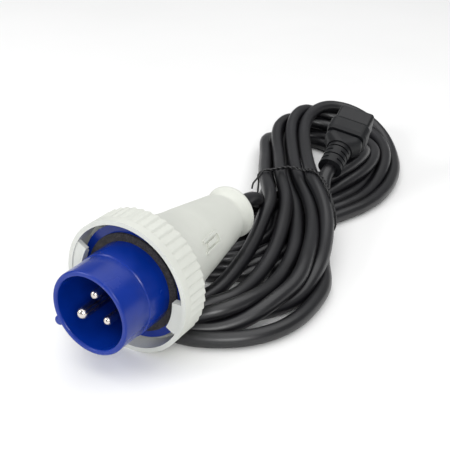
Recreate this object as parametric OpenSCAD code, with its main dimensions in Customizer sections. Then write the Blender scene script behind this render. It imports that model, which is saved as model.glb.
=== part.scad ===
// Power cable: a three-pin round plug with a bayonet locking ring and a screwed cable gland,
// a round rubber cable wound into a tied figure-of-eight hank, and a moulded appliance connector.
// The plug lies along Y with its mouth towards -Y, and stands on its locking ring at z = 0.

/* [Front sleeve] */
// Outer diameter of the sleeve around the pins
sleeve_d = 58; // [54:0.5:60]
// Wall of the sleeve at its mouth
sleeve_wall = 3.7; // [2.5:0.1:4.5]
// Mouth to the front face of the flange
sleeve_len = 45; // [42:0.5:52]
// Mouth to the small step round the sleeve
step_z = 23; // [15:0.5:32]
// Height of that step
step_h = 0.6; // [0.3:0.1:1]
// Rounding of the mouth's rim
rim_round = 1.2; // [0.5:0.1:1.6]
// Diameter of the flange behind the sleeve
flange_d = 81; // [79:0.5:83]
// Thickness of the flange
flange_t = 5; // [4:0.5:7]
// Thickness of the floor that the pins stand in
floor_t = 4; // [3:0.5:4]
// Diameter of the spigot that plugs into the housing
spigot_d = 66; // [64:0.5:68]
// Wall of the spigot
spigot_wall = 4; // [3.5:0.5:5]
// Length of the spigot behind the flange
spigot_len = 14; // [12:0.5:18]
// Width of the key rib on the sleeve
key_w = 6; // [4:0.5:8]
// Height of the key rib
key_h = 2.6; // [2:0.1:3]
// Angle of the key and the earth pin, from +X towards +Z
key_angle = 209; // [0:1:360]
// Width of the flat gasket ring
gasket_w = 5.2; // [3:0.1:5.6]
// Thickness of the gasket
gasket_t = 2; // [1:0.1:2.5]

/* [Pins] */
// Radius of the circle that the pins stand on
pin_circle_r = 10.5; // [9:0.1:12]
// Diameter of the two current pins
pin_d = 6; // [5:0.1:7]
// Diameter of the earth pin
earth_d = 8; // [7:0.1:9]
// Mouth to the tips of the current pins
pin_tip_z = 4.5; // [3:0.5:10]
// Mouth to the tip of the earth pin
earth_tip_z = 1.5; // [1:0.5:6]
// Depth of the contact carrier behind the floor
carrier_len = 13; // [10:0.5:14]
// Length of the terminal barrel behind the carrier
terminal_len = 11; // [9:0.5:14]
// Diameter of a wire's ferrule
ferrule_d = 3.2; // [2.4:0.1:3.6]
// Diameter of a terminal screw
terminal_screw_d = 3.5; // [2.5:0.1:4]

/* [Locking ring] */
// Space between the flange and the ring's wall
ring_gap = 3.3; // [3:0.1:4.2]
// Wall of the ring
ring_wall = 3.2; // [2.6:0.1:3.4]
// Width of the ring along the plug
ring_w = 22.6; // [21:0.1:26]
// How far the ring stands ahead of the flange
ring_ahead = 9; // [8:0.5:11]
// Width of the plain band at the ring's front
ring_band = 5.6; // [3:0.1:8]
// Number of grip ridges
ring_ridges = 48; // [24:2:72]
// Depth of the grooves between ridges
ridge_depth = 0.9; // [0.4:0.1:1.2]
// Thickness of the web that turns on the housing's neck
ring_web_t = 5; // [4:0.5:6]
// Length of a bayonet lug round the ring, in degrees
lug_span = 26; // [15:1:40]
// Height of a lug inwards from the ring's wall
lug_h = 7.5; // [5:0.5:8]
// Thickness of a lug along the plug
lug_t = 5; // [3:0.5:5.5]
// Angle of the first lug, from +X towards +Z
lug_angle = -12; // [-45:1:45]
// Running clearance of the ring on the neck, at each face
ring_play = 0.3; // [0.2:0.05:0.5]

/* [Rear housing] */
// Height of the shoulder over the neck that the ring turns on
neck_step = 2.5; // [2:0.1:3.5]
// Mouth to the end of the flare, where the handle begins
handle_z = 107; // [100:1:112]
// Diameter of the handle at its front
handle_front_d = 53; // [52:0.5:58]
// Diameter of the handle at its rear
handle_rear_d = 39; // [38:0.5:44]
// Hollow of the flare below a straight line
flare_sag = 2.3; // [0.5:0.1:2.6]
// Mouth to the rear face of the housing
housing_end_z = 150; // [147:0.5:156]
// Rounding of the housing's rear edge
housing_round = 2.5; // [1:0.5:3]
// Wall of the housing
housing_wall = 3.2; // [2.5:0.1:3.6]
// Height of the raised latch guard
guard_h = 1.6; // [1:0.1:2.5]
// Width of the latch guard
guard_w = 10; // [8:0.5:14]
// Mouth to the open end of the latch guard
guard_z = 88; // [84:0.5:92]
// Length of the latch guard
guard_len = 22; // [16:0.5:24]
// Angle of the latch guard, from +X towards +Z
guard_angle = 25; // [0:1:180]
// Section of the O-ring between spigot and housing
o_ring_d = 1.7; // [1.4:0.1:2]

/* [Cable gland] */
// Diameter of the cable
cord_d = 11.5; // [9:0.5:12]
// Length of the gland nut behind the housing
nut_len = 15; // [14:0.5:20]
// Diameter of the gland's thread
thread_d = 30; // [28:0.5:31]
// Length of the nut's threaded spigot
thread_len = 16; // [12:0.5:17]
// Diameter of the rubber seal
seal_d = 27; // [24:0.5:27]
// Length of the rubber seal
seal_len = 13; // [8:0.5:14]
// Thickness of the slip ring between nut and seal
slip_t = 4; // [2.5:0.5:5]
// Diameter of the nut's collar
nut_collar_d = 35; // [32:0.5:36]
// Diameter of the nut's waist
nut_waist_d = 31; // [30:0.5:33]
// Diameter of the nut's trumpet lip
nut_lip_d = 41; // [38:0.5:44]
// Rounding of the trumpet lip
nut_lip_round = 2.2; // [1.5:0.1:2.6]
// Diameter of one insulated wire
wire_d = 3.6; // [3:0.1:4]

/* [Appliance connector] */
// Width of the nose that enters the inlet
nose_w = 31.5; // [30:0.5:33]
// Height of the nose
nose_h = 22.5; // [21:0.5:24]
// Length of the nose
nose_len = 15.5; // [15:0.5:24]
// Width of the grip
grip_w = 36; // [34:0.5:40]
// Height of the grip
grip_h = 26; // [25:0.5:30]
// Length of the grip
grip_len = 16; // [14:0.5:26]
// Length of the bell between grip and strain relief
taper_len = 13; // [11:0.5:20]
// Length of the ribbed strain relief
relief_len = 24; // [22:0.5:36]
// Diameter of the strain relief
relief_d = 21; // [19:0.5:24]
// Spacing of the two current contacts
contact_pitch = 13; // [12:0.5:14]
// Height of the earth contact above the other two
earth_offset = 8; // [7:0.5:9]
// Width of a contact slot
slot_w = 9; // [8.4:0.1:10]
// Height of a contact slot
slot_h = 2.8; // [2.4:0.1:3.2]

/* [Hidden] */
$fn = 64;

// Clearance of pieces that plug into each other
fit = 0.1;
// Clearance of pieces that slide or turn in each other
slide_fit = 0.3;
// Small overlap that makes cuts run past a face
past = 0.01;

// Stations along the plug, measured from the mouth
z_flange = sleeve_len;
z_flange_back = z_flange + flange_t;
z_floor = z_flange_back - floor_t;
z_carrier_end = z_flange_back + carrier_len;
z_terminal_end = z_carrier_end + terminal_len;
z_spigot_end = z_flange_back + spigot_len;
z_ring = z_flange - ring_ahead;
z_web = z_flange_back + ring_play;
z_shoulder = z_web + ring_web_t + ring_play;
z_flare = z_shoulder + 3;
plug_len = housing_end_z + nut_len;
z_thread = housing_end_z - thread_len;
z_slip = z_thread - slip_t;
z_seal = z_slip - seal_len;
z_partition = z_seal - 5;
z_sheath = z_partition - 4;

// Radii of the plug's pieces
shoulder_r = flange_d / 2;
neck_r = shoulder_r - neck_step;
ring_bore_r = shoulder_r + ring_gap;
ring_d = 2 * (ring_bore_r + ring_wall);
axis_h = ring_d / 2;
sleeve_r = sleeve_d / 2;
sleeve_rear_r = sleeve_r + step_h;
bore_r = sleeve_r - sleeve_wall;
spigot_r = spigot_d / 2;
spigot_bore_r = spigot_r - spigot_wall;
groove_r = spigot_r - o_ring_d + fit;
groove_z = z_flange_back + spigot_len / 2;
groove_w = o_ring_d + 2 * fit;
cord_r = cord_d / 2;
carrier_r = spigot_bore_r - fit;
collar_t = 2;
collar_step = 1.2;
seat_step = 0.5;
barrel_wall = 2.8;

// Where the connector lies: end of its strain relief, heading, upward tilt and roll to its right
connector_end = [16, 216, 35];
connector_yaw = 95.5;
connector_tilt = 20;
connector_roll = 12;
connector_heading = [cos(connector_tilt) * cos(connector_yaw), cos(connector_tilt) * sin(connector_yaw),
                     sin(connector_tilt)];
z_taper = relief_len;
z_grip = z_taper + taper_len;
z_nose = z_grip + grip_len;
connector_len = z_nose + nose_len;
insert_len = nose_len + 12;
nose_round = 3.5;

// Route of the cable from the gland's mouth to the hank, and from the connector back into it
gland_mouth = [0, plug_len / 2, axis_h];
lead_steps = [[0, 5.5, 0], [0, 21.5, 0], [-2, 33.5, -2], [-6, 47.5, -9], [-12, 61.5, -18],
              [-18, 73.5, -26], [-24, 84.5, -32], [-30, 95.5, -36]];
lead_route = [for (step = lead_steps) gland_mouth + step];
tail_route = [[17, 206, 32.5], [18, 196, 32], [20, 186, 31], [24, 174, 26.5], [29, 162, 19], [34, 150, 11]];

// The hank: centres and radii of the round ends that its outline runs between
hank_foot = [38, 38];
hank_foot_r = 52;
hank_side = [-36, 60];
hank_side_r = 50;
hank_waist = [-4, 190];
hank_waist_r = 37;
hank_right = [10, 285];
hank_right_r = 52;
hank_crown = [-48, 312];
hank_crown_r = 54;
hank_layers = [1, 2, 4];
hank_step_y = handle_z + 18 - plug_len / 2;
crown_edge_y = 284;
tie_yaw = 5;
tie_w = 82;
tie_wire = 1.6;
tie_slack = 0.4;

// Points on an arc
function arc(c, r, a0, a1, n) =
    [for (i = [0:n]) c + r * [cos(a0 + (a1 - a0) * i / n), sin(a0 + (a1 - a0) * i / n)]];

// Radius of the housing at a distance behind the mouth
function flare_r(z) =
    let (t = (z - z_flare) / (handle_z - z_flare))
    shoulder_r + (handle_front_d / 2 - shoulder_r) * t - 4 * flare_sag * t * (1 - t);
function handle_r(z) =
    let (t = (z - handle_z) / (housing_end_z - handle_z))
    handle_front_d / 2 + (handle_rear_d - handle_front_d) / 2 * t;
function housing_r(z) = z < z_flare ? shoulder_r : z < handle_z ? flare_r(z) : handle_r(z);

// A smooth curve through a list of points
function curve_point(p, i, t) =
    let (n = len(p) - 1, a = p[max(i - 1, 0)], b = p[i], c = p[i + 1], d = p[min(i + 2, n)])
    0.5 * (2 * b + (c - a) * t + (2 * a - 5 * b + 4 * c - d) * t * t
           + (3 * b - a - 3 * c + d) * t * t * t);
function curve(p, steps) = concat(
    [for (i = [0:len(p) - 2], k = [0:steps - 1]) curve_point(p, i, k / steps)], [p[len(p) - 1]]);
function unit(v) = v / norm(v);
function heading(p, i) = unit(p[min(i + 1, len(p) - 1)] - p[max(i - 1, 0)]);

// A round tube along a list of points, with its rings square to the route
module tube(p, d, sides = 10, side_ref = [1, 0, 0]) {
    rings = [for (i = [0:len(p) - 1])
        let (h = heading(p, i), u = unit(side_ref - h * (side_ref * h)), v = cross(h, u))
        for (k = [0:sides - 1]) p[i] + d / 2 * (u * cos(360 * k / sides) + v * sin(360 * k / sides))];
    last = len(p) - 1;
    walls = [for (i = [0:last - 1], k = [0:sides - 1])
        let (a = i * sides + k, b = i * sides + (k + 1) % sides) [a, a + sides, b + sides, b]];
    start_cap = [[for (k = [0:sides - 1]) k]];
    end_cap = [[for (k = [0:sides - 1]) last * sides + sides - 1 - k]];
    polyhedron(rings, concat(start_cap, walls, end_cap), convexity = 8);
}

// A flat outline round two circles
module stadium(a, ra, b, rb) {
    d = norm(b - a);
    base = atan2(b[1] - a[1], b[0] - a[0]);
    lean = acos((ra - rb) / d);
    polygon([a + ra * [cos(base + lean), sin(base + lean)], b + rb * [cos(base + lean), sin(base + lean)],
             b + rb * [cos(base - lean), sin(base - lean)], a + ra * [cos(base - lean), sin(base - lean)]]);
    translate(a) circle(ra);
    translate(b) circle(rb);
}

// A rectangle with round corners
module round_rect(w, h, r) {
    square([w - 2 * r, h], center = true);
    square([w, h - 2 * r], center = true);
    for (x = [-1, 1], y = [-1, 1])
        translate([x * (w / 2 - r), y * (h / 2 - r)]) circle(r);
}

// Places plug pieces, drawn along Z from the mouth, on the plug's axis
module on_plug_axis() {
    translate([0, -plug_len / 2, axis_h]) rotate([-90, 0, 0]) children();
}

// Turns a piece on the plug's axis to an angle from +X towards +Z
module at_angle(a) {
    rotate([0, 0, -a]) children();
}

// Places connector pieces, drawn along Z from the end of the strain relief
module on_connector() {
    translate(connector_end) rotate([0, 0, connector_yaw - 90]) rotate([connector_tilt - 90, 0, 0])
        rotate([0, 0, connector_roll]) children();
}

// A ring sector, between two radii and over a span of degrees
module sector(r_in, r_out, z, h, span) {
    translate([0, 0, z]) rotate([0, 0, -span / 2]) rotate_extrude(angle = span)
        translate([r_in, 0]) square([r_out - r_in, h]);
}

// Blue front sleeve: mouth, stepped wall, floor, flange and the spigot that enters the housing
module front_sleeve() {
    profile = concat(
        [[0, z_floor], [bore_r, z_floor]],
        arc([bore_r + rim_round, rim_round], rim_round, 180, 270, 4),
        arc([sleeve_r - rim_round, rim_round], rim_round, 270, 360, 4),
        [[sleeve_r, step_z], [sleeve_rear_r, step_z + step_h], [sleeve_rear_r, z_flange],
         [flange_d / 2, z_flange], [flange_d / 2, z_flange_back], [spigot_r, z_flange_back],
         [spigot_r, groove_z], [groove_r, groove_z], [groove_r, groove_z + groove_w],
         [spigot_r, groove_z + groove_w], [spigot_r, z_spigot_end], [spigot_bore_r, z_spigot_end],
         [spigot_bore_r, z_flange_back], [0, z_flange_back]]);
    color("royalblue") on_plug_axis() difference() {
        union() {
            rotate_extrude() polygon(profile);
            at_angle(key_angle) key_rib();
        }
        each_pin(earth_d / 2 + seat_step + fit, pin_d / 2 + seat_step + fit, z_floor - past,
                 floor_t + 2 * past);
    }
}

// Key rib along the outside of the sleeve, with a rounded front end
module key_rib() {
    nose_r = key_w / 2;
    crest = sleeve_r + key_h - nose_r;
    translate([crest, 0, nose_r]) sphere(nose_r);
    translate([0, 0, nose_r]) linear_extrude(z_flange - nose_r) {
        translate([crest, 0]) circle(nose_r);
        translate([sleeve_r - 1, -nose_r]) square([crest - sleeve_r + 1, key_w]);
    }
}

// Puts a child on the axis of one pin
module at_pin(a) {
    at_angle(a) translate([pin_circle_r, 0, 0]) children();
}

// Cylinders on all three pin axes
module each_pin(earth_r, current_r, z, h) {
    at_pin(key_angle) translate([0, 0, z]) cylinder(r = earth_r, h = h);
    for (turn = [-120, 120])
        at_pin(key_angle + turn) translate([0, 0, z]) cylinder(r = current_r, h = h);
}

// Black carrier behind the floor, with a stepped hole for each pin
module contact_carrier() {
    color("dimgray") on_plug_axis() difference() {
        translate([0, 0, z_flange_back]) cylinder(r = carrier_r, h = carrier_len);
        each_pin(barrel_r(earth_d) + fit, barrel_r(pin_d) + fit, z_flange_back - past,
                 carrier_len + 2 * past);
        each_pin(earth_d / 2 + collar_step + barrel_wall / 2 + fit,
                 pin_d / 2 + collar_step + barrel_wall / 2 + fit, z_flange_back - past, collar_t + fit);
    }
}

// Radius of the terminal barrel behind a pin
function barrel_r(d) = max(d / 2 + 0.6, ferrule_d / 2 + barrel_wall);

// One turned pin: domed tip, shaft, seat in the floor, collar and drilled terminal barrel
module contact_pin(d, tip_z) {
    shaft_r = d / 2;
    collar_r = shaft_r + collar_step + barrel_wall / 2;
    screw_z = z_terminal_end - terminal_len / 2;
    profile = concat(
        arc([0, tip_z + shaft_r], shaft_r, 270, 360, 8),
        [[shaft_r, z_floor], [shaft_r + seat_step, z_floor], [shaft_r + seat_step, z_flange_back],
         [collar_r, z_flange_back], [collar_r, z_flange_back + collar_t],
         [barrel_r(d), z_flange_back + collar_t], [barrel_r(d), z_terminal_end], [0, z_terminal_end]]);
    difference() {
        rotate_extrude() polygon(profile);
        translate([0, 0, z_carrier_end]) cylinder(d = ferrule_d + 2 * fit, h = terminal_len + past);
        translate([0, 0, screw_z]) rotate([0, 90, 0])
            cylinder(d = terminal_screw_d + 2 * fit, h = barrel_r(d) + past);
    }
}

module earth_pin() {
    color("silver") on_plug_axis() at_pin(key_angle) contact_pin(earth_d, earth_tip_z);
}

module line_pin() {
    color("silver") on_plug_axis() at_pin(key_angle - 120) contact_pin(pin_d, pin_tip_z);
}

module neutral_pin() {
    color("silver") on_plug_axis() at_pin(key_angle + 120) contact_pin(pin_d, pin_tip_z);
}

// One slotted grub screw that presses on a ferrule
module terminal_screw(d) {
    start = ferrule_d / 2 + fit;
    length = barrel_r(d) - start + 1;
    translate([start, 0, z_terminal_end - terminal_len / 2]) rotate([0, 90, 0]) difference() {
        cylinder(d = terminal_screw_d, h = length);
        translate([-terminal_screw_d / 2 - past, -0.4, length - 0.9])
            cube([terminal_screw_d + 2 * past, 0.8, 1]);
    }
}

module terminal_screws() {
    color("silver") on_plug_axis() {
        at_pin(key_angle) terminal_screw(earth_d);
        for (turn = [-120, 120]) at_pin(key_angle + turn) terminal_screw(pin_d);
    }
}

// Crimped ferrules on the wire ends, from the bottom of each terminal to its mouth
module wire_ferrules() {
    color("silver") on_plug_axis()
        each_pin(ferrule_d / 2, ferrule_d / 2, z_carrier_end + fit, terminal_len + 1 - fit);
}

// One insulated wire from its ferrule to the end of the cable's sheath
module plug_wire(a) {
    start_z = z_terminal_end + 1;
    end_r = cord_r * 0.45;
    span = z_sheath - start_z;
    radii = [pin_circle_r, pin_circle_r, pin_circle_r * 0.8, end_r * 1.4, end_r, end_r];
    parts = [0, 0.14, 0.4, 0.72, 0.9, 1];
    route = [for (i = [0:5]) [radii[i] * cos(a), radii[i] * -sin(a), start_z + span * parts[i]]];
    on_plug_axis() tube(curve(route, 2), wire_d, 8);
}

module earth_wire() {
    color("yellowgreen") plug_wire(key_angle);
}

module line_wire() {
    color("saddlebrown") plug_wire(key_angle - 120);
}

module neutral_wire() {
    color("dodgerblue") plug_wire(key_angle + 120);
}

// Flat foam gasket on the front of the flange, notched round the key rib
module flange_gasket() {
    inner = sleeve_rear_r + fit;
    color("dimgray") on_plug_axis() difference() {
        translate([0, 0, z_flange - gasket_t]) cylinder(r = inner + gasket_w, h = gasket_t);
        translate([0, 0, z_flange - gasket_t - past]) cylinder(r = inner, h = gasket_t + 2 * past);
        at_angle(key_angle) translate([0, -key_w / 2 - fit, z_flange - gasket_t - past])
            cube([sleeve_r + key_h + fit, key_w + 2 * fit, gasket_t + 2 * past]);
    }
}

// Grip outline of the locking ring: saw-tooth ridges with their crests just under the plain band
module ridge_outline() {
    step = 360 / ring_ridges;
    crest = ring_d / 2 - 0.15;
    root = crest - ridge_depth;
    polygon([for (i = [0:ring_ridges - 1], p = [[0, crest], [0.25, root], [0.8, crest - 0.1]])
        p[1] * [cos(step * (i + p[0])), sin(step * (i + p[0]))]]);
}

// Locking ring: ridged grip, web that turns on the housing's neck, and two bayonet lugs
module locking_ring() {
    web_back = z_web + ring_web_t;
    color("gainsboro") on_plug_axis() difference() {
        union() {
            difference() {
                union() {
                    translate([0, 0, z_ring]) cylinder(d = ring_d, h = ring_band);
                    translate([0, 0, z_ring + ring_band]) linear_extrude(ring_w - ring_band) ridge_outline();
                }
                translate([0, 0, z_ring - past]) cylinder(r = ring_bore_r, h = z_web - z_ring + past);
                translate([0, 0, z_web - 1]) cylinder(r = neck_r + slide_fit, h = ring_web_t + 2);
                translate([0, 0, web_back]) cylinder(r = ring_bore_r, h = ring_w);
            }
            for (turn = [0, 180]) at_angle(lug_angle + turn) bayonet_lug();
        }
        for (turn = [0, 180]) at_angle(lug_angle + turn)
            sector(shoulder_r + slide_fit, ring_bore_r - slide_fit, z_web - 1, ring_web_t + 2, lug_span + 8);
    }
}

// One lug inside the ring's front edge, with a thinner lead-in end
module bayonet_lug() {
    inner = ring_bore_r - lug_h;
    lug_z = z_ring + 0.6;
    lead_in = lug_span / 4;
    thin = 0.6 * lug_t;
    difference() {
        rotate([0, 0, lead_in / 2]) sector(inner, ring_bore_r + 0.5, lug_z, lug_t, lug_span + lead_in);
        rotate([0, 0, lug_span / 2 + lead_in])
            sector(inner - 1, ring_bore_r + 1, lug_z + thin, lug_t, 2 * lead_in);
    }
}

// Points of the housing's outside, raised by a height, between two stations
function housing_line(z0, z1, raise, n) =
    [for (i = [0:n]) let (z = z0 + (z1 - z0) * i / n) [housing_r(z) + raise, z]];

// Rear housing: neck, shoulder, flare and handle outside, terminal room and gland socket inside
module rear_housing() {
    round_z = housing_end_z - housing_round;
    end_r = handle_r(round_z);
    outside = concat(
        [[0, z_flange_back], [neck_r, z_flange_back], [neck_r, z_shoulder], [shoulder_r, z_shoulder]],
        housing_line(z_flare, handle_z, 0, 10),
        arc([end_r - housing_round, round_z], housing_round, 0, 90, 5), [[0, housing_end_z]]);
    inside = concat(
        [[0, z_flange_back - past], [spigot_r + fit, z_flange_back - past],
         [spigot_r + fit, z_spigot_end + fit]],
        housing_line(z_spigot_end + fit, z_partition, -housing_wall - 1, 8),
        [[0, z_partition]]);
    color("gainsboro") on_plug_axis() {
        difference() {
            rotate_extrude() polygon(outside);
            rotate_extrude() polygon(inside);
            translate([0, 0, z_partition - past]) cylinder(r = cord_r + slide_fit, h = housing_end_z);
            translate([0, 0, z_seal]) cylinder(d = seal_d, h = housing_end_z);
            translate([0, 0, z_thread]) cylinder(d = thread_d, h = housing_end_z);
        }
        at_angle(guard_angle) latch_guard();
    }
}

// Raised guard on the handle, open towards the ring, with the latch tongue inside it
module latch_guard() {
    rib_w = 1.9;
    tongue_w = 3;
    reach = ring_d / 2;
    intersection() {
        rotate_extrude() polygon(concat(
            housing_line(guard_z - 6, guard_z + guard_len + 6, -1, 6),
            [for (i = [6:-1:0]) housing_line(guard_z - 6, guard_z + guard_len + 6, guard_h, 6)[i]]));
        translate([0, 0, guard_z]) rotate([0, 90, 0]) linear_extrude(reach) mirror([1, 0, 0]) {
            difference() {
                guard_outline(guard_w, guard_len);
                translate([-past, 0]) guard_outline(guard_w - 2 * rib_w, guard_len - rib_w);
            }
            translate([4, -tongue_w / 2]) square([guard_len - rib_w - 8, tongue_w]);
        }
    }
}

// Outline of the guard: square at its open end, round-cornered at its closed end
module guard_outline(w, l) {
    corner = w / 4;
    translate([0, -w / 2]) square([l - corner, w]);
    translate([0, -w / 2 + corner]) square([l, w - 2 * corner]);
    for (side = [-1, 1]) translate([l - corner, side * (w / 2 - corner)]) circle(corner);
}

// O-ring in the groove of the spigot
module housing_o_ring() {
    section_r = o_ring_d / 2 - fit / 2;
    color("dimgray") on_plug_axis() translate([0, 0, groove_z + groove_w / 2])
        rotate_extrude() translate([groove_r + section_r + fit / 2, 0]) circle(section_r);
}

// Rubber seal squeezed round the cable
module gland_seal() {
    color("dimgray") on_plug_axis() translate([0, 0, z_seal]) difference() {
        cylinder(r = seal_d / 2 - fit, h = seal_len);
        translate([0, 0, -past]) cylinder(r = cord_r + fit, h = seal_len + 2 * past);
    }
}

// Slip ring that keeps the turning nut off the seal
module slip_ring() {
    color("whitesmoke") on_plug_axis() translate([0, 0, z_slip]) difference() {
        cylinder(r = seal_d / 2 - slide_fit, h = slip_t);
        translate([0, 0, -past]) cylinder(r = cord_r + 2 * slide_fit, h = slip_t + 2 * past);
    }
}

// Gland nut: threaded spigot, stepped collar, waist and rounded trumpet lip
module gland_nut() {
    lip_r = nut_lip_d / 2;
    lip_z = plug_len - nut_lip_round;
    collar_z = housing_end_z + slide_fit;
    collar_end = collar_z + 3;
    waist_z = collar_z + nut_len / 3;
    edge = 0.6;
    under_lip = 25;
    bore = cord_r + 2 * slide_fit;
    mouth_round = 5;
    outside = concat(
        [[0, z_thread + slide_fit], [thread_d / 2 - slide_fit, z_thread + slide_fit],
         [thread_d / 2 - slide_fit, collar_z], [nut_collar_d / 2 - edge, collar_z],
         [nut_collar_d / 2, collar_z + edge], [nut_collar_d / 2, collar_end],
         [nut_collar_d / 2 - 1, collar_end + 0.4]],
        [for (i = [0:6]) let (t = i / 6)
            [nut_waist_d / 2 + (lip_r - 0.7 - nut_waist_d / 2) * t * t, waist_z + (lip_z - 2 - waist_z) * t]],
        arc([lip_r - nut_lip_round, lip_z], nut_lip_round, -under_lip, 90, 6),
        [[0, plug_len]]);
    mouth = concat([[0, plug_len + past], [bore + mouth_round, plug_len + past]],
        arc([bore + mouth_round, plug_len - mouth_round], mouth_round, 90, 180, 5),
        [[0, plug_len - mouth_round]]);
    color("gainsboro") on_plug_axis() difference() {
        rotate_extrude() polygon(outside);
        translate([0, 0, z_thread]) cylinder(r = bore, h = plug_len);
        rotate_extrude() polygon(mouth);
    }
}

// Cable from the end of its sheath in the plug, out of the gland and down into the hank
module cord_lead() {
    sheath = [0, z_sheath - plug_len / 2, axis_h];
    straight = [for (t = [0, 0.33, 0.67]) sheath + (lead_route[0] - sheath) * t];
    color("dimgray") tube(concat(straight, curve(lead_route, 2)), cord_d, 12);
}

// Flat outline of the hank's lower loop and of its upper loop
module lower_outline() {
    stadium(hank_foot, hank_foot_r, hank_waist, hank_waist_r);
    stadium(hank_side, hank_side_r, hank_waist, hank_waist_r);
    stadium(hank_foot, hank_foot_r, hank_side, hank_side_r);
}

module upper_outline() {
    stadium(hank_waist, hank_waist_r, hank_right, hank_right_r);
    stadium(hank_waist, hank_waist_r, hank_crown, hank_crown_r);
    stadium(hank_right, hank_right_r, hank_crown, hank_crown_r);
    polygon([hank_waist, hank_right, hank_crown]);
}

// The wound hank's outer shape: one layer at its foot, two at its waist, four at its crown
module cord_hank() {
    wide = 400;
    color("dimgray") difference() {
        union() {
            linear_extrude(hank_layers[0] * cord_d) lower_outline();
            linear_extrude(hank_layers[1] * cord_d) {
                upper_outline();
                intersection() {
                    lower_outline();
                    translate([-wide / 2, hank_step_y]) square(wide);
                }
            }
            linear_extrude(hank_layers[2] * cord_d) intersection() {
                upper_outline();
                translate([-wide / 2, crown_edge_y]) square(wide);
            }
        }
        translate(hank_waist) rotate([0, 0, tie_yaw])
            cube([wide / 2, tie_wire + 2 * tie_slack, 2 * (tie_wire + tie_slack)], center = true);
    }
}

// Cable from the connector back down into the hank
module cord_tail() {
    inside = connector_end + connector_heading * relief_len / 2;
    color("dimgray") tube(concat([inside, connector_end], curve(tail_route, 2)), cord_d, 12);
}

// Wire tie round the hank's waist
module twist_tie() {
    inner_h = hank_layers[1] * cord_d + tie_slack - tie_wire;
    corner = tie_wire;
    color("dimgray") translate([hank_waist[0], hank_waist[1], tie_wire + inner_h / 2])
        rotate([0, 0, tie_yaw]) rotate([90, 0, 0]) linear_extrude(tie_wire, center = true) difference() {
            round_rect(tie_w + 2 * tie_wire, inner_h + 2 * tie_wire, corner + tie_wire);
            round_rect(tie_w, inner_h, corner);
        }
}

// Connector overmould: grip round the insert, taper, and strain relief cut into ribs
module connector_body() {
    rib_gap = 1.4;
    rib_pitch = 5;
    rib_span = 140;
    first_rib = 3.6;
    grip_round = 7;
    edge = 3;
    shoulder_len = 4;
    groove = 1.4;
    color("dimgray") on_connector() difference() {
        union() {
            soft_block(z_grip, grip_len, grip_w, grip_h, grip_round, edge);
            translate([0, 0, z_grip - 2 * groove]) linear_extrude(3 * groove)
                round_rect(grip_w - 4 * edge, grip_h - 4 * edge, grip_round - edge);
            hull() {
                translate([0, 0, z_grip - groove - shoulder_len]) linear_extrude(shoulder_len)
                    round_rect(grip_w - edge, grip_h - 2 * edge, grip_round, $fn = 32);
                translate([0, 0, z_taper]) cylinder(d = relief_d + 2, h = 2, $fn = 48);
            }
            cylinder(d = relief_d, h = relief_len + 1);
        }
        for (i = [0:3], side = [0, 180])
            translate([0, 0, first_rib + rib_pitch * i]) rotate([0, 0, side + 90 * (i % 2) - rib_span / 2])
                rotate_extrude(angle = rib_span)
                    translate([cord_r + 2.2, 0]) square([relief_d, rib_gap]);
        translate([0, 0, connector_len - insert_len]) linear_extrude(insert_len)
            round_rect(nose_w + 2 * fit, nose_h + 2 * fit, nose_round);
        translate([0, 0, -past]) cylinder(r = cord_r + fit, h = relief_len / 2);
    }
}

// Block with round corners and a soft edge at both ends
module soft_block(z, length, wide, high, corner, edge) {
    hull() {
        translate([0, 0, z]) linear_extrude(length) round_rect(wide - edge, high - edge, corner - edge / 2, $fn = 32);
        translate([0, 0, z + edge]) linear_extrude(length - 2 * edge) round_rect(wide, high, corner, $fn = 32);
    }
}

// Places a child at the three contact positions
module at_contact(i) {
    side = contact_pitch / 2;
    rise = earth_offset / 2;
    spots = [[0, -rise], [-side, rise], [side, rise]];
    translate([spots[i][0], spots[i][1], 0]) children();
}

// Connector nose with its three contact slots
module connector_insert() {
    color("dimgray") on_connector() difference() {
        soft_block(connector_len - insert_len + fit, insert_len - fit, nose_w, nose_h, nose_round, 1.2);
        for (i = [0:2]) at_contact(i) translate([-slot_w / 2, -slot_h / 2, connector_len - insert_len + 4])
            cube([slot_w, slot_h, insert_len]);
    }
}

// One folded contact strip at the bottom of its slot
module connector_contact(i) {
    strip_t = 0.5;
    strip_len = insert_len - 12;
    color("goldenrod") on_connector() at_contact(i)
        translate([-slot_w / 2 + fit, -slot_h / 2 + fit, connector_len - insert_len + 4]) difference() {
            cube([slot_w - 2 * fit, slot_h - 2 * fit, strip_len]);
            translate([-past, strip_t, 1]) cube([slot_w, slot_h - 2 * fit - 2 * strip_t, strip_len]);
        }
}

module connector_earth_contact() {
    connector_contact(0);
}

module connector_line_contact() {
    connector_contact(1);
}

module connector_neutral_contact() {
    connector_contact(2);
}

front_sleeve();
contact_carrier();
earth_pin();
line_pin();
neutral_pin();
terminal_screws();
wire_ferrules();
earth_wire();
line_wire();
neutral_wire();
flange_gasket();
locking_ring();
rear_housing();
housing_o_ring();
gland_seal();
slip_ring();
gland_nut();
cord_lead();
cord_hank();
cord_tail();
twist_tie();
connector_body();
connector_insert();
connector_earth_contact();
connector_line_contact();
connector_neutral_contact();
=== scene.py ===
import math

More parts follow.
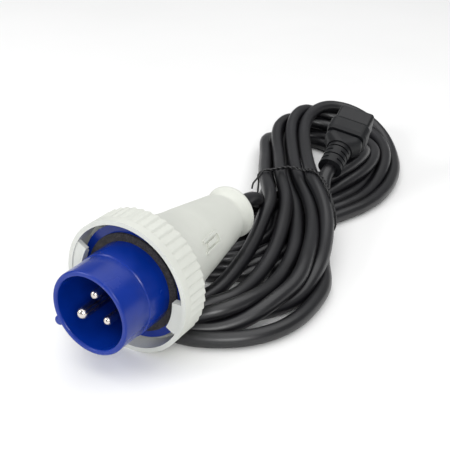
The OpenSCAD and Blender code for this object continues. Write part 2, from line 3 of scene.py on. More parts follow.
import bmesh
import bpy
import numpy as np
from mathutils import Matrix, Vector


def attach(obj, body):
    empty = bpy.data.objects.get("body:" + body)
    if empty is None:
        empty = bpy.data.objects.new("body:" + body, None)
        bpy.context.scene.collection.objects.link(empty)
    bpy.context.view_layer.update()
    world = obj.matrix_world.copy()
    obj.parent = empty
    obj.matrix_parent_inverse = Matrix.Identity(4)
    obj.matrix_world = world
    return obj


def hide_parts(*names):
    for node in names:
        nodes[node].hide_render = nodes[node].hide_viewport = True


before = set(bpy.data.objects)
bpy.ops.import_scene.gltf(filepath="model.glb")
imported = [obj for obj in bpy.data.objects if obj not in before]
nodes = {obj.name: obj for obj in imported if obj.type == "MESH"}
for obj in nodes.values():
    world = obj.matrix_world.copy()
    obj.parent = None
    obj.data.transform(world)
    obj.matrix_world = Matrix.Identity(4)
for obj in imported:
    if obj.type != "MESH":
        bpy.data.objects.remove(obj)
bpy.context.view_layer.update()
plugAxisHeight = 47  # the plug lies along Y at this height, in mm
plugMouth = -82.5


# Small helpers: sizes in millimetres, colours from hex, one way to add a shader node

def mm(*v):
    return Vector([x / 1000 for x in v])


def hexLinear(code):
    rgb = [int(code[i:i + 2], 16) / 255 for i in (1, 3, 5)]
    return [c / 12.92 if c <= 0.04045 else ((c + 0.055) / 1.055) ** 2.4 for c in rgb] + [1]


def perMm(size):
    return 1000 / size  # texture scale that repeats once every size millimetres


# A wave texture turns 20 radians per unit, so this one turns a radian every size millimetres
def wavePerMm(size):
    return perMm(size) / 20


# Settings go to sockets or properties by name; "stops" are the places and hex colours of a ramp
def addNode(tree, kind, settings=None, links=None):
    node = tree.nodes.new(kind)
    for name, value in (settings or {}).items():
        if name == "stops":
            for element, (place, colour) in zip(node.color_ramp.elements, value):
                element.position = place
                element.color = hexLinear(colour)
        elif name in node.inputs:
            node.inputs[name].default_value = value
        else:
            setattr(node, name, value)
    for name, source in (links or {}).items():
        tree.links.new(source, node.inputs[name])
    return node


def newMaterial(name):
    mat = bpy.data.materials.new(name)
    mat.use_nodes = True
    tree = mat.node_tree
    shader = tree.nodes["Principled BSDF"]
    where = addNode(tree, "ShaderNodeTexCoord").outputs["Object"]
    return mat, tree, shader, where


# What is the same all over is set on the shader's own sockets, the rest is linked
def setShader(tree, shader, values, links):
    for name, value in values.items():
        shader.inputs[name].default_value = value
    for name, source in links.items():
        tree.links.new(source, shader.inputs[name])


# Moulded plastic or rubber: the mould's fine skin in the bump, slow changes of tint and gloss from handling
def mouldedPlastic(name, look):
    mat, tree, shader, where = newMaterial(name)
    skin = addNode(tree, "ShaderNodeTexNoise",
                   {"Scale": perMm(look["grain"]), "Detail": 3, "Roughness": 0.6}, {"Vector": where})
    clouds = addNode(tree, "ShaderNodeTexNoise",
                     {"Scale": perMm(look["clouds"]), "Detail": 4}, {"Vector": where})
    tint = addNode(tree, "ShaderNodeValToRGB", {"stops": [(0.3, look["dark"]), (0.7, look["light"])]},
                   {"Fac": clouds.outputs["Fac"]})
    smoothest, roughest = look["rough"]
    gloss = addNode(tree, "ShaderNodeMapRange",
                    {"From Min": 0.3, "From Max": 0.7, "To Min": smoothest, "To Max": roughest},
                    {"Value": clouds.outputs["Fac"]})
    bump = addNode(tree, "ShaderNodeBump", {"Strength": look["bump"], "Distance": 0.0001},
                   {"Height": skin.outputs["Fac"]})
    setShader(tree, shader, {"IOR": look["ior"]},
              {"Base Color": tint.outputs["Color"], "Roughness": gloss.outputs["Result"],
               "Normal": bump.outputs["Normal"]})
    return mat


# Sleeve: polyamide from a polished mould, deep blue with a satin sheen.
# Its IOR is below nylon's 1.53, because the photo's reflections on it are weak.
blueNylon = mouldedPlastic("blue_polyamide_satin", {
    "dark": "#02267E", "light": "#042C8C", "grain": 0.8, "clouds": 22, "rough": (0.2, 0.28),
    "bump": 0.05, "ior": 1.4})

# Ring, housing and nut: polyamide from an eroded mould, warm light grey and nearly matt
greyNylon = mouldedPlastic("light_grey_polyamide_eroded", {
    "dark": "#CACCC4", "light": "#D1D3CB", "grain": 0.9, "clouds": 30, "rough": (0.5, 0.6),
    "bump": 0.12, "ior": 1.53})

# Carrier behind the pins: moulded glass-filled polyamide, black and dull
carrierNylon = mouldedPlastic("black_glass_filled_polyamide", {
    "dark": "#18191B", "light": "#222326", "grain": 0.6, "clouds": 9, "rough": (0.5, 0.65),
    "bump": 0.2, "ior": 1.53})

# Slip ring: moulded acetal, white and waxy
whiteAcetal = mouldedPlastic("white_acetal_moulded", {
    "dark": "#E4E4DE", "light": "#ECECE6", "grain": 0.7, "clouds": 8, "rough": (0.35, 0.45),
    "bump": 0.06, "ior": 1.48})

# Connector overmould: soft PVC from a grained mould, black, its sheen broken up by the grain.
# Its IOR is below PVC's 1.53 for the photo's weak reflections.
blackPvc = mouldedPlastic("black_soft_pvc_grained", {
    "dark": "#0B0C0E", "light": "#101114", "grain": 0.55, "clouds": 14, "rough": (0.4, 0.52),
    "bump": 0.18, "ior": 1.4})

# Connector insert: moulded hard thermoplastic, black and a little glossier than the overmould
blackInsert = mouldedPlastic("black_thermoplastic_insert", {
    "dark": "#0B0C0E", "light": "#101114", "grain": 0.6, "clouds": 10, "rough": (0.4, 0.5),
    "bump": 0.1, "ior": 1.46})

# Seals: moulded nitrile rubber, black and matt
sealRubber = mouldedPlastic("black_nitrile_moulded", {
    "dark": "#161617", "light": "#1F1F21", "grain": 0.5, "clouds": 6, "rough": (0.6, 0.75),
    "bump": 0.15, "ior": 1.5})

# Line and neutral wires: extruded PVC insulation, smooth with a soft gloss
wireBrown = mouldedPlastic("brown_pvc_insulation", {
    "dark": "#5A331C", "light": "#653A20", "grain": 0.6, "clouds": 6, "rough": (0.35, 0.45),
    "bump": 0.05, "ior": 1.52})
wireBlue = mouldedPlastic("blue_pvc_insulation", {
    "dark": "#2A5FA8", "light": "#316AB6", "grain": 0.6, "clouds": 6, "rough": (0.35, 0.45),
    "bump": 0.05, "ior": 1.52})


# Earth wire: extruded PVC insulation in two colours, green with yellow bands
def stripedInsulation(look):
    mat, tree, shader, where = newMaterial("green_yellow_pvc_insulation")
    wave = addNode(tree, "ShaderNodeTexWave",
                   {"Scale": wavePerMm(look["stripe"]), "Distortion": 0.4, "wave_type": "BANDS",
                    "bands_direction": "X"}, {"Vector": where})
    tint = addNode(tree, "ShaderNodeValToRGB", {"stops": [(0.45, look["green"]), (0.55, look["yellow"])]},
                   {"Fac": wave.outputs["Fac"]})
    setShader(tree, shader, {"Roughness": look["rough"]}, {"Base Color": tint.outputs["Color"]})
    return mat


earthInsulation = stripedInsulation({"stripe": 3.6, "green": "#2F8A3A", "yellow": "#E3CB2E", "rough": 0.4})


# Gasket: foam rubber cut from a sheet, black, with painted shade darkening the middle of each open pore so
# that the walls between them show lighter
def foamRubber(look):
    mat, tree, shader, where = newMaterial("black_foam_rubber_cut")
    pores = addNode(tree, "ShaderNodeTexVoronoi", {"Scale": perMm(look["pore"]), "Randomness": 1},
                    {"Vector": where})
    dust = addNode(tree, "ShaderNodeTexNoise", {"Scale": perMm(look["dust"]), "Detail": 4},
                   {"Vector": where})
    mixed = addNode(tree, "ShaderNodeMath", {"operation": "MULTIPLY"},
                    {0: pores.outputs["Distance"], 1: dust.outputs["Fac"]})
    # Painted shade: the middle of each pore is darkened as the shade inside it, and the dust noise varies
    # that tone at random
    tint = addNode(tree, "ShaderNodeValToRGB", {"stops": [(0.1, look["poreShade"]), (0.42, look["wall"])]},
                   {"Fac": mixed.outputs["Value"]})
    bump = addNode(tree, "ShaderNodeBump", {"Strength": 0.8, "Distance": 0.0003},
                   {"Height": pores.outputs["Distance"]})
    setShader(tree, shader, {"Roughness": look["rough"]},
              {"Base Color": tint.outputs["Color"], "Normal": bump.outputs["Normal"]})
    return mat


# pores of the real foam are near 0.4 mm; drawn at 1 mm so that they show. The first colour is the painted
# shade inside the pores, the second the walls between them
gasketFoam = foamRubber({"pore": 1.0, "dust": 3, "poreShade": "#151314", "wall": "#3A3737", "rough": 0.85})


# Plated or stamped metal: faint bands from the tool and a soft mottle in tint and gloss
def platedMetal(name, look):
    mat, tree, shader, where = newMaterial(name)
    bands = addNode(tree, "ShaderNodeTexWave",
                    {"Scale": wavePerMm(look["pitch"]), "Distortion": 0.6, "Detail": 2,
                     "wave_type": "BANDS", "bands_direction": "Y"}, {"Vector": where})
    mottle = addNode(tree, "ShaderNodeTexNoise", {"Scale": perMm(look["mottle"]), "Detail": 5},
                     {"Vector": where})
    tint = addNode(tree, "ShaderNodeValToRGB", {"stops": [(0.3, look["dark"]), (0.7, look["light"])]},
                   {"Fac": mottle.outputs["Fac"]})
    smoothest, roughest = look["rough"]
    gloss = addNode(tree, "ShaderNodeMapRange", {"To Min": smoothest, "To Max": roughest},
                    {"Value": mottle.outputs["Fac"]})
    bump = addNode(tree, "ShaderNodeBump", {"Strength": 0.06, "Distance": 0.00005},
                   {"Height": bands.outputs["Fac"]})
    setShader(tree, shader, {"Metallic": 1},
              {"Base Color": tint.outputs["Color"], "Roughness": gloss.outputs["Result"],
               "Normal": bump.outputs["Normal"]})
    return mat


# Pins, screws and ferrules: turned brass under nickel, pale and bright.
# Lathe marks are near 0.1 mm apart; drawn coarser so that they show.
nickelBrass = platedMetal("nickel_plated_brass_turned", {
    "pitch": 0.6, "mottle": 4, "dark": "#C9C1BA", "light": "#E2DCD6", "rough": (0.16, 0.28)})

# Contacts of the connector: stamped brass strip, yellow and softly bright
contactBrass = platedMetal("brass_strip_stamped", {
    "pitch": 0.8, "mottle": 3, "dark": "#B08D4C", "light": "#CDAA63", "rough": (0.25, 0.4)})


# Extruded sheath: a fine skin in the bump, and duller patches where dust sits
def extrudedSheath(name, look):
    mat, tree, shader, where = newMaterial(name)
    dust = addNode(tree, "ShaderNodeTexNoise", {"Scale": perMm(look["dust"]), "Detail": 5},
                   {"Vector": where})
    skin = addNode(tree, "ShaderNodeTexNoise", {"Scale": perMm(look["grain"]), "Detail": 3},
                   {"Vector": where})
    tint = addNode(tree, "ShaderNodeValToRGB", {"stops": [(0.35, look["dark"]), (0.75, look["light"])]},
                   {"Fac": dust.outputs["Fac"]})
    smoothest, roughest = look["rough"]
    gloss = addNode(tree, "ShaderNodeMapRange",
                    {"From Min": 0.3, "From Max": 0.7, "To Min": smoothest, "To Max": roughest},
                    {"Value": dust.outputs["Fac"]})
    bump = addNode(tree, "ShaderNodeBump", {"Strength": look["bump"], "Distance": 0.0001},
                   {"Height": skin.outputs["Fac"]})
    setShader(tree, shader, {"IOR": look["ior"], "Specular IOR Level": look["specular"]},
              {"Base Color": tint.outputs["Color"], "Roughness": gloss.outputs["Result"],
               "Normal": bump.outputs["Normal"]})
    return mat


# Cable: extruded rubber, bluish black with long satin highlights
blackRubber = extrudedSheath("black_rubber_sheath_extruded", {
    "dark": "#08080B", "light": "#0D0D12", "dust": 35, "grain": 0.7, "rough": (0.32, 0.42),
    "bump": 0.1, "ior": 1.52, "specular": 0.65})

# Tie: thin PVC coating extruded on a wire, black and satin
tieCoating = extrudedSheath("black_pvc_wire_coating", {
    "dark": "#0C0C0E", "light": "#121214", "dust": 8, "grain": 0.5, "rough": (0.3, 0.4),
    "bump": 0.05, "ior": 1.52, "specular": 0.5})

finishes = {
    "front_sleeve": blueNylon, "contact_carrier": carrierNylon,
    "earth_pin": nickelBrass, "line_pin": nickelBrass, "neutral_pin": nickelBrass,
    "terminal_screws": nickelBrass, "wire_ferrules": nickelBrass,
    "earth_wire": earthInsulation, "line_wire": wireBrown, "neutral_wire": wireBlue,
    "flange_gasket": gasketFoam, "locking_ring": greyNylon, "rear_housing": greyNylon,
    "housing_o_ring": sealRubber, "gland_seal": sealRubber, "slip_ring": whiteAcetal,
    "gland_nut": greyNylon,
    "connector_body": blackPvc, "connector_insert": blackInsert,
    "connector_earth_contact": contactBrass, "connector_line_contact": contactBrass,
    "connector_neutral_contact": contactBrass,
}
for name, mat in finishes.items():
    mesh = nodes[name].data
    mesh.materials.clear()
    mesh.materials.append(mat)
print("finishes set on", len(finishes), "pieces")


# Key rib at the mouth: fitted over the sleeve's own rib, which is lower and rounder in front.
# Radii are from the plug's axis, depths from the mouth.
keyRib = {"angle": 209, "width": 6.8, "root": 27.5, "crest": 33.7, "front": 0.4, "nose": 1.6,
          "level": 18, "back": 34, "backCrest": 31.7, "topSteps": 13, "noseSteps": 6}


def ribSection(rib, depth, crest, inset):
    half = rib["width"] / 2 - inset
    top = crest - inset - half
    roundTop = np.linspace(-1, 1, rib["topSteps"]) * math.pi / 2
    outline = [(rib["root"], -half)]
    outline += [(top + half * math.cos(a), half * math.sin(a)) for a in roundTop]
    outline += [(rib["root"], half)]
    turn = math.radians(rib["angle"])
    return [mm(out * math.cos(turn) - side * math.sin(turn), plugMouth + depth,
               plugAxisHeight + out * math.sin(turn) + side * math.cos(turn)) for out, side in outline]


def buildKeyRib(rib, mat):
    roundNose = np.linspace(0, math.pi / 2, rib["noseSteps"])
    sections = [ribSection(rib, rib["front"] + rib["nose"] * (1 - math.cos(a)), rib["crest"],
                           rib["nose"] * (1 - math.sin(a))) for a in roundNose]
    sections += [ribSection(rib, rib["level"], rib["crest"], 0),
                 ribSection(rib, rib["back"], rib["backCrest"], 0)]
    count = len(sections[0])
    faces = [list(range(count)), list(range((len(sections) - 1) * count, len(sections) * count))[::-1]]
    for i in range(len(sections) - 1):
        for j in range(count):
            a, b = i * count + j, i * count + (j + 1) % count
            faces.append((a, a + count, b + count, b))
    mesh = bpy.data.meshes.new("keyRib")
    mesh.from_pydata([p for section in sections for p in section], [], faces)
    form = bmesh.new()
    form.from_mesh(mesh)
    bmesh.ops.recalc_face_normals(form, faces=form.faces)
    for face in form.faces:
        face.smooth = len(face.verts) == 4
    form.to_mesh(mesh)
    form.free()
    mesh.materials.append(mat)
    obj = bpy.data.objects.new("keyRib", mesh)
    bpy.context.collection.objects.link(obj)
    return obj


keyRibPiece = buildKeyRib(keyRib, blueNylon)
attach(keyRibPiece, "plug")
print("key rib made")


# The cable: one length from the gland to the connector, laid as a figure of eight, in millimetres.
# Each turn goes up over the waist, round the crown, back under the waist and round the foot.
# A station gives the place of the first, the middle and the last strand, and each turn lies between them
# by its share. The strands that fan out beside the ring have a place each.
cableRun = {
    "diameter": 11.5,
    "spacing": 6.0,  # between points while it settles
    "drawnSpacing": 8.0,  # between points of the finished curve
    "leadIn": [(0, 74, 47), (0, 96, 47), (0, 108, 46.8), (-2, 121, 43.5), (-6, 135, 36.5), (-11, 148, 28),
               (-16, 161, 20.5), (-22, 175, 16), (-29, 191, 14), (-38, 210, 12), (-50, 232, 9),
               (-65, 254, 7), (-79, 275, 5.8),
               (-87, 297, 5.8), (-80, 319, 5.8), (-60, 333, 5.8), (-35, 328, 5.8), (-16, 312, 5.8),
               (-8, 289, 5.8), (-8, 265, 5.8), (-11, 243, 5.8), (-15, 222, 5.8), (-20, 202, 5.8),
               (-27, 182, 5.8), (-33, 162, 5.8)],
    "overAndRound": [
        ((-22, 173, 30), (-5, 186, 28), (10, 202, 29)), ((-39, 200, 28), (-24, 213, 29), (-13, 232, 31)),
        ((-66, 251, 21), (-44, 247, 27), (-30, 260, 32)), ((-83, 282, 15), (-66, 281, 28), (-46, 288, 33)),
        ((-92, 304, 10), (-78, 304, 30), (-58, 314, 34)), ((-88, 326, 6), (-85, 328, 31), (-66, 338, 34)),
        ((-66, 342, 5.8), (-78, 350, 29), (-66, 358, 34)),
        ((-34, 341, 5.8), (-50, 361, 22), (-50, 374, 32)),
        ((-9, 328, 10), (-14, 350, 16), (-18, 374, 25)), ((11, 306, 22), (15, 322, 14), (15, 348, 14)),
        ((20, 280, 32), (27, 294, 11), (33, 315, 7)), ((22, 254, 32), (32, 263, 8), (42, 285, 5.8)),
        ((15, 229, 20), (30, 232, 6), (46.5, 248, 5.8)), ((3, 207, 8), (20, 207, 5.8), (41, 210, 5.8)),
        ((-14, 184, 5.8), (9, 184, 5.8), (33, 186, 5.8)), ((-26, 163, 5.8), (1, 163, 5.8), (27, 165, 5.8))],
    "underAndUp": [
        ((-34, 142, 5.8), (2, 142, 5.8), (34, 142, 5.8)), ((-45, 122, 5.8), (-2, 119, 5.8), (33, 118, 5.8)),
        ((-60, 106, 5.8), (-14, 96, 5.8), (24, 92, 5.8)), ((-78, 88, 5.8), (-38, 77, 5.8), (4, 69, 5.8)),
        ((-93, 69, 6), (-77, 65, 7), (-56, 62, 5.8)), ((-95, 38, 9), (-85, 36, 9), (-73, 35, 5.8)),
        ((-82, 7, 9), (-75, 5, 9), (-66, 4, 5.8)), ((-54, -11, 7), (-47, -13, 6), (-40, -14, 5.8)),
        ((-18, -13, 5.8), (-15, -15, 5.8), (-11, -17, 5.8))],
    "lastFoot": [(40, 142, 5.8), (42, 118, 5.8), (37, 95, 5.8), (25, 73, 5.8), (8, 57.5, 5.8),
                 (-8, 50.5, 5.8), (-26, 46, 5.8), (-41, 38, 5.8), (-51, 26, 5.8), (-53, 12, 5.8),
                 (-47, -2, 5.8), (-35, -12, 5.8), (-20, -17, 5.8), (-4, -17.5, 5.8)],
    "besideRing": [
        [(8, -5, 7), (13, -8, 8), (20, -12, 8), (22, -12, 8), (20, -5, 5.8), (28, -18, 5.8)],
        [(24, 10, 17), (37, 5, 16), (43, -1, 13), (45, 6, 10), (43.5, 11.5, 5.8), (56, -9, 5.8)],
        [(20.5, 42, 17.5), (38.5, 38.5, 17), (54, 26, 17), (61, 33, 13.5), (65.5, 39, 5.8),
         (74.5, 10, 5.8)],
        [(15, 85, 21), (34.5, 81, 20), (52, 69, 19), (68.5, 66, 17), (72.5, 68.5, 7), (82.5, 36, 5.8)],
        [(5, 116, 25), (23, 117, 24), (39.5, 112, 22), (63, 88, 21), (71.5, 89, 12)],
        [(-4, 137, 28), (12, 147, 26), (18, 152, 21), (43, 134, 24), (62, 114, 18)],
        [(-14, 160, 30), (-2, 174, 27), (0, 185, 18), (20, 176, 26), (42, 158, 24)]],
    "tailOut": [(80, 64, 5.8), (73, 86, 5.8), (62, 110, 5.8), (52, 130, 7), (42.5, 148, 10.5),
                (33.5, 165, 15.5), (26, 179, 20.5), (21, 190, 25), (18.2, 199, 28.8), (16.9, 206.6, 31.6),
                (16, 216, 35), (15.1, 225.4, 38.4)],
    "leftShares": [0, 0.345, 0.53, 0.71, 1],
    "rightShares": [0, 0.25, 0.5, 0.75, 1],
    "footShares": [0, 0.4, 0.62, 0.82, 1],
    "crownAt": 7,  # stations before this one are on the left, where one strand lies sunk below the others
    "sunk": [0, 0, 12, 0, 0],
}

# Outside of the plug, as distance behind the mouth and radius, that the cable stays clear of
plugOutline = [(36, 47), (58.6, 47), (58.7, 40.5), (60, 40.5), (70, 36), (80, 32), (90, 29), (100, 27.2),
               (107, 26.5), (115, 25.2), (130, 22.3), (145, 19.8), (150, 19.5), (152, 17.5), (155, 16),
               (158, 17), (162, 20.5), (165, 20.5)]


def strandPlace(station, share):
    first, middle, last = np.array(station, float)
    if share < 0.5:
        return first + 2 * share * (middle - first)
    return middle + (2 * share - 1) * (last - middle)


def cableStations(run):
    stops = list(run["leadIn"])
    for turn in range(len(run["footShares"]) + 1):
        if turn > 0:  # the lead itself makes the first round
            for i, station in enumerate(run["overAndRound"]):
                onLeft = i < run["crownAt"]
                p = strandPlace(station, run["leftShares" if onLeft else "rightShares"][turn - 1])
                if onLeft:
                    p[2] -= run["sunk"][turn - 1]
                stops.append(p)
        if turn < len(run["footShares"]):
            stops += [strandPlace(station, run["footShares"][turn]) for station in run["underAndUp"]]
        else:
            stops += run["lastFoot"]
        stops += [places[turn] for places in run["besideRing"] if turn < len(places)]
    stops = np.array(stops + run["tailOut"], float)
    stops[:, 2] = np.maximum(stops[:, 2], run["diameter"] / 2)
    return stops


def evenSteps(line, step):
    run = np.r_[0, np.cumsum(np.linalg.norm(np.diff(line, axis=0), axis=1))]
    marks = np.linspace(0, run[-1], max(2, int(round(run[-1] / step))) + 1)
    return np.stack([np.interp(marks, run, line[:, i]) for i in range(3)], 1)


# Catmull-Rom curve through the stops
def smoothLine(stops, step, finer=8):
    line = []
    last = len(stops) - 1
    for i in range(last):
        a, b, c, d = stops[max(i - 1, 0)], stops[i], stops[i + 1], stops[min(i + 2, last)]
        for t in np.linspace(0, 1, finer, endpoint=False):
            line.append(0.5 * (2 * b + (c - a) * t + (2 * a - 5 * b + 4 * c - d) * t ** 2
                               + (3 * b - a - 3 * c + d) * t ** 3))
    return evenSteps(np.array(line + [stops[-1]]), step)


# Settles the strands: they push each other apart to one diameter, lie on the floor, keep off the plug and
# stay stiff, while a weak pull holds each near its station
settle = {
    "rounds": 420, "pullSide": 0.04, "pullUp": 0.012, "weight": 0.05,
    "stiff": {1: 0.9, 2: 0.5, 4: 0.1},  # against waves of so many spacings
    "bendRadius": 40, "straighten": 0.1, "bendSteps": 3,  # tighter bends than this are drawn straighter
    "held": (6, 5),  # points that stay put in the gland and in the connector
    "freeNear": 14,  # points at the gland that may be inside the plug's outline
    "clearance": 0.4, "skip": 2.2, "lookWithin": 1.6, "lookEvery": 6,  # skip and look in diameters
    "crowded": (30, 14), "crowdedShare": 0.2,  # strands are pressed together under the plug's front
}


def settleCable(line, run, how):
    gap = run["diameter"]
    radius = gap / 2
    home = line.copy()
    count = len(line)
    skip = int(math.ceil(how["skip"] * gap / run["spacing"]))
    held = np.zeros(count, bool)
    held[:how["held"][0]] = True
    held[-how["held"][1]:] = True
    outline = np.array(plugOutline)
    crowded = (np.abs(home[:, 0]) < how["crowded"][0]) & (home[:, 1] < how["crowded"][1])
    n = how["bendSteps"]
    for turn in range(how["rounds"]):
        if turn % how["lookEvery"] == 0:
            far = ((line[:, None] - line[None]) ** 2).sum(2)
            a, b = np.where(far < (how["lookWithin"] * gap) ** 2)
            apart = b - a > skip
            a, b = a[apart], b[apart]
        way = line[a] - line[b]
        length = np.sqrt((way ** 2).sum(1)) + 1e-9
        push = np.maximum(gap - length, 0)
        push[crowded[a] & crowded[b]] *= how["crowdedShare"]
        shift = (push * 0.5 / length)[:, None] * way
        move = np.zeros_like(line)
        touches = np.zeros(count)
        np.add.at(move, a, shift)
        np.add.at(move, b, -shift)
        np.add.at(touches, a, push > 0)
        np.add.at(touches, b, push > 0)
        move /= np.maximum(np.sqrt(touches), 1)[:, None]
        move[:, :2] += how["pullSide"] * (home - line)[:, :2]
        move[:, 2] += how["pullUp"] * (home - line)[:, 2] - how["weight"]
        for k, share in how["stiff"].items():
            move[2 * k:-2 * k] += share / 16 * (
                4 * line[k:-3 * k] - line[:-4 * k] - 6 * line[2 * k:-2 * k]
                + 4 * line[3 * k:-k] - line[4 * k:])
        middle = 0.5 * (line[:-2 * n] + line[2 * n:]) - line[n:-n]
        chord = np.linalg.norm(line[2 * n:] - line[:-2 * n], axis=1)
        bendRadius = chord ** 2 / (8 * np.linalg.norm(middle, axis=1) + 1e-9)
        tight = bendRadius < how["bendRadius"]
        move[n:-n][tight] += how["straighten"] * middle[tight]
        move[held] = 0
        line = line + move
        # out of the plug, sideways from its axis, and up to the floor
        reach = np.interp(line[:, 1] - plugMouth, outline[:, 0], outline[:, 1], left=0, right=0)
        side = np.stack([line[:, 0], line[:, 2] - plugAxisHeight], 1)
        out = np.linalg.norm(side, axis=1) + 1e-9
        need = reach + radius + how["clearance"]
        inside = (reach > 0) & (out < need) & ~held
        inside[:how["freeNear"]] = False
        line[inside, 0] *= (need / out)[inside]
        line[inside, 2] = plugAxisHeight + (side[:, 1] * need / out)[inside]
        line[:, 2] = np.where(held, line[:, 2], np.maximum(line[:, 2], radius))
    return line


cableLine = smoothLine(cableStations(cableRun), cableRun["spacing"])
cableLine = evenSteps(settleCable(cableLine, cableRun, settle), cableRun["drawnSpacing"])


# One smooth round tube through the points, which are in millimetres
def tubeCurve(name, points, diameter, mat, smooth):
    curve = bpy.data.curves.new(name, "CURVE")
    curve.dimensions = "3D"
    curve.bevel_depth = diameter / 2000
    curve.bevel_resolution = 5
    curve.use_fill_caps = True
    spline = curve.splines.new("NURBS")
    spline.points.add(len(points) - 1)
    for point, p in zip(spline.points, points / 1000):
        point.co = (*p, 1)
    spline.order_u = 4
    spline.use_endpoint_u = True
    spline.resolution_u = smooth
    curve.materials.append(mat)
    obj = bpy.data.objects.new(name, curve)
    bpy.context.collection.objects.link(obj)
    return obj


cable = tubeCurve("cable", cableLine, cableRun["diameter"], blackRubber, smooth=3)
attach(cable, "plug")
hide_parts("cord_lead", "cord_hank", "cord_tail")


# Wire tie: one coated wire, once round the waist of the hank, its two runs over the top twisted together.
# It is drawn tight: its points pull on each other and are kept off the strands.
tieRun = {
    "diameter": 1.6,
    "freeEnd": [(-35.5, 173, 20), (-36, 176, 24), (-34, 180, 28)],
    "overTop": [(-31, 185, 32), (-26, 190, 33), (-20, 198, 34), (-12, 203, 34), (-2, 203, 34), (7, 199, 35),
                (16, 194.5, 35), (23, 190, 34), (30, 183, 33), (37, 174, 31)],
    "roundBelow": [(44, 168, 26), (47, 167, 16), (46, 168, 6), (40, 170, 0.7), (20, 176, 0.7),
                   (0, 181, 0.7), (-20, 185, 0.7), (-33, 186, 0.7), (-37, 186, 6), (-37, 186, 16),
                   (-35, 186, 26)],
    "lastEnd": [(42, 168, 28), (45, 165, 23)],
    "step": 1.0, "rounds": 60, "tension": 0.25, "pull": 0.04, "pitch": 9.0, "twist": 0.85, "twistIn": 6,
    "waist": (140, 230), "strandStep": 2.0,
    "onFloor": 2,  # below this the wire isn't pushed off the strands
}


def drawTight(line, run, strands, reach):
    home = line.copy()
    for turn in range(run["rounds"]):
        line[1:-1] += run["tension"] * (line[:-2] + line[2:] - 2 * line[1:-1])
        line += run["pull"] * (home - line)
        way = line[:, None] - strands[None]
        far = np.sqrt((way ** 2).sum(2))
        near = far.argmin(1)
        rows = np.arange(len(line))
        short = np.maximum(reach - far[rows, near], 0) * (line[:, 2] > run["onFloor"])
        line += way[rows, near] * (short / far[rows, near])[:, None]
    return line


# Turns a run about its own middle line, so that two runs half a turn apart make a twisted pair
def twistRun(line, run, phase):
    along = np.gradient(line, axis=0)
    along /= np.linalg.norm(along, axis=1)[:, None]
    side = np.cross(along, (0, 0, 1))
    side /= np.linalg.norm(side, axis=1)[:, None]
    up = np.cross(side, along)
    steps = np.arange(len(line)) * run["step"]
    angle = 2 * math.pi * steps / run["pitch"] + phase
    reach = run["twist"] * np.minimum(1, np.minimum(steps, steps[::-1]) / run["twistIn"])
    return line + (reach * np.cos(angle))[:, None] * up + (reach * np.sin(angle))[:, None] * side


def wireTie(run, cableAxis, cableDiameter):
    wireReach = (cableDiameter + run["diameter"]) / 2
    near, far = run["waist"]
    strands = evenSteps(cableAxis, run["strandStep"])
    strands = strands[(strands[:, 1] > near) & (strands[:, 1] < far)]
    overTop = smoothLine(np.array(run["overTop"], float), run["step"])
    overTop = drawTight(overTop, run, strands, wireReach + run["twist"])
    left, right = overTop[:1], overTop[-1:]
    below = smoothLine(np.concatenate([right, run["roundBelow"], left]), run["step"])
    below = drawTight(below, run, strands, wireReach)
    first = smoothLine(np.concatenate([run["freeEnd"], left]), run["step"])
    last = smoothLine(np.concatenate([right, run["lastEnd"]]), run["step"])
    return np.concatenate([first[:-1], twistRun(overTop, run, 0), below[1:-1],
                           twistRun(overTop, run, math.pi), last[1:]])


tiePoints = wireTie(tieRun, cableLine, cableRun["diameter"])
tie = tubeCurve("wireTie", tiePoints, tieRun["diameter"], tieCoating, smooth=2)
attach(tie, "plug")
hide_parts("twist_tie")
print("tie drawn in", len(tiePoints), "points")


# Floor and light: a pale floor, one broad soft light overhead and two smaller ones from the front corners
studio = {"paper": ("#F2F2F1", "#F7F7F6"), "cloud": 300, "size": 6.0, "skyColour": "#FBFCFF", "sky": 0.3}

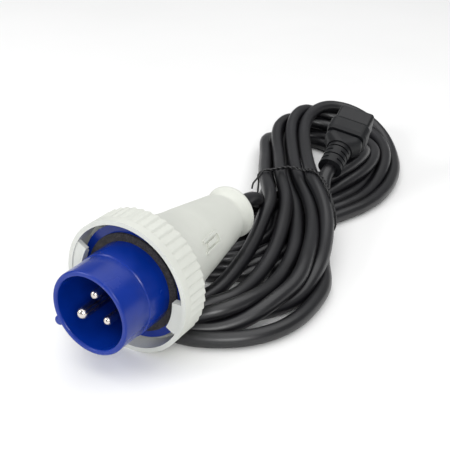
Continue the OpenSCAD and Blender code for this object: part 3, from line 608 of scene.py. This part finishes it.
# Sheet of matt white paper, with a slow change of tone
floorMat, floorTree, floorShader, floorWhere = newMaterial("pale_paper_sweep")
paper = addNode(floorTree, "ShaderNodeTexNoise", {"Scale": perMm(studio["cloud"]), "Detail": 3},
                {"Vector": floorWhere})
paperTint = addNode(floorTree, "ShaderNodeValToRGB",
                    {"stops": [(0.2, studio["paper"][0]), (0.8, studio["paper"][1])]},
                    {"Fac": paper.outputs["Fac"]})
setShader(floorTree, floorShader, {"Roughness": 0.9}, {"Base Color": paperTint.outputs["Color"]})
floorMesh = bpy.data.meshes.new("floor")
half = studio["size"] / 2
corners = [(-half, -half, 0), (half, -half, 0), (half, half, 0), (-half, half, 0)]
floorMesh.from_pydata(corners, [], [(0, 1, 2, 3)])
floorMesh.materials.append(floorMat)
floor = bpy.data.objects.new("floor", floorMesh)
bpy.context.collection.objects.link(floor)

world = bpy.data.worlds.new("studio")
world.use_nodes = True
sky = world.node_tree.nodes["Background"]
sky.inputs["Color"].default_value = hexLinear(studio["skyColour"])
sky.inputs["Strength"].default_value = studio["sky"]
bpy.context.scene.world = world

# places in metres, power in watts
softLights = {
    "overhead": {"at": (0, 0.35, 2.0), "aim": (0, 0.351, 0), "size": (3.0, 3.0), "power": 40},
    "rightFront": {"at": (1.0, -1.1, 0.9), "aim": (0, 0, 0.04), "size": (0.7, 0.7), "power": 15},
    "leftFront": {"at": (-1.0, -1.0, 0.8), "aim": (0, 0, 0.04), "size": (0.7, 0.7), "power": 11},
}
for name, light in softLights.items():
    data = bpy.data.lights.new(name, "AREA")
    data.shape = "RECTANGLE"
    data.size, data.size_y = light["size"]
    data.energy = light["power"]
    lamp = bpy.data.objects.new(name, data)
    lamp.location = light["at"]
    lamp.rotation_euler = (Vector(light["aim"]) - lamp.location).to_track_quat("-Z", "Y").to_euler()
    bpy.context.collection.objects.link(lamp)
print("floor and", len(softLights), "lights set")

# Camera at the photo's angle: place in millimetres, heading and tilt in degrees, lens for a square frame
shot = {"at": (315.4, -427.4, 349.9), "heading": 32.2, "tilt": 27.7, "lens": 72}
camera = bpy.data.objects.new("camera", bpy.data.cameras.new("camera"))
camera.data.lens = shot["lens"]
camera.data.sensor_width = 36
camera.data.clip_start = 0.01
camera.location = mm(*shot["at"])
camera.rotation_euler = (math.radians(90 - shot["tilt"]), 0, math.radians(shot["heading"]))
bpy.context.collection.objects.link(camera)
bpy.context.scene.camera = camera
bpy.context.scene.view_settings.view_transform = "Standard"
